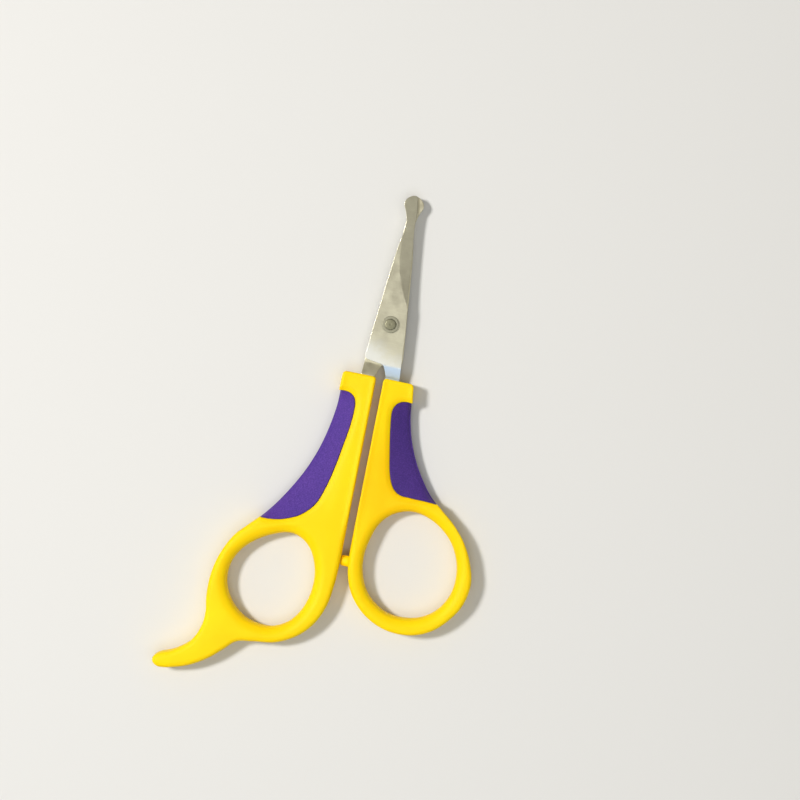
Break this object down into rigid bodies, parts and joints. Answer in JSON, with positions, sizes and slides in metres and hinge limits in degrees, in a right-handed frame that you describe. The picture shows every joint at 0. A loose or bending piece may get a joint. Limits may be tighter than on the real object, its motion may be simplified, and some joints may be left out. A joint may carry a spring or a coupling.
{
  "type": "scissor nail clipper",
  "caption": "Scissor nail clipper for small pets: short ball-tipped steel blades on a rivet, two-ring moulded handles with soft grip inlays and a finger rest.",
  "frame": {"origin": "on the rivet axis, in the plane where the flat inner faces of the two blades meet", "axes": "+Y along the blades towards the ball tips, +Z out of the front face along the rivet axis, +X towards the right-hand (thumb ring) handle; the clipper lies flat with its back at the lowest Z"},
  "size_m": [0.0708, 0.1214, 0.006],
  "materials": {
    "handle_plastic": "semi-gloss moulded plastic, bright yellow",
    "grip_rubber": "matt soft-touch over-moulded rubber, purple",
    "blade_steel": "satin stamped steel, finely brushed, ground bevel",
    "pivot_steel": "satin steel, turned and peened"
  },
  "bodies": {
    "left_half": {"left_handle": "handle_plastic", "left_grip": "grip_rubber", "rear_blade": "blade_steel", "pivot_rivet": "pivot_steel", "pivot_washer": "pivot_steel"},
    "right_half": {"front_blade": "blade_steel", "right_handle": "handle_plastic", "right_grip": "grip_rubber"}
  },
  "joints": [
    {"name": "blade_pivot", "type": "hinge", "parent": "left_half", "child": "right_half", "pos_m": [0, 0, 0], "axis": [0, 0, 1], "range_deg": [0, 70]}
  ]
}
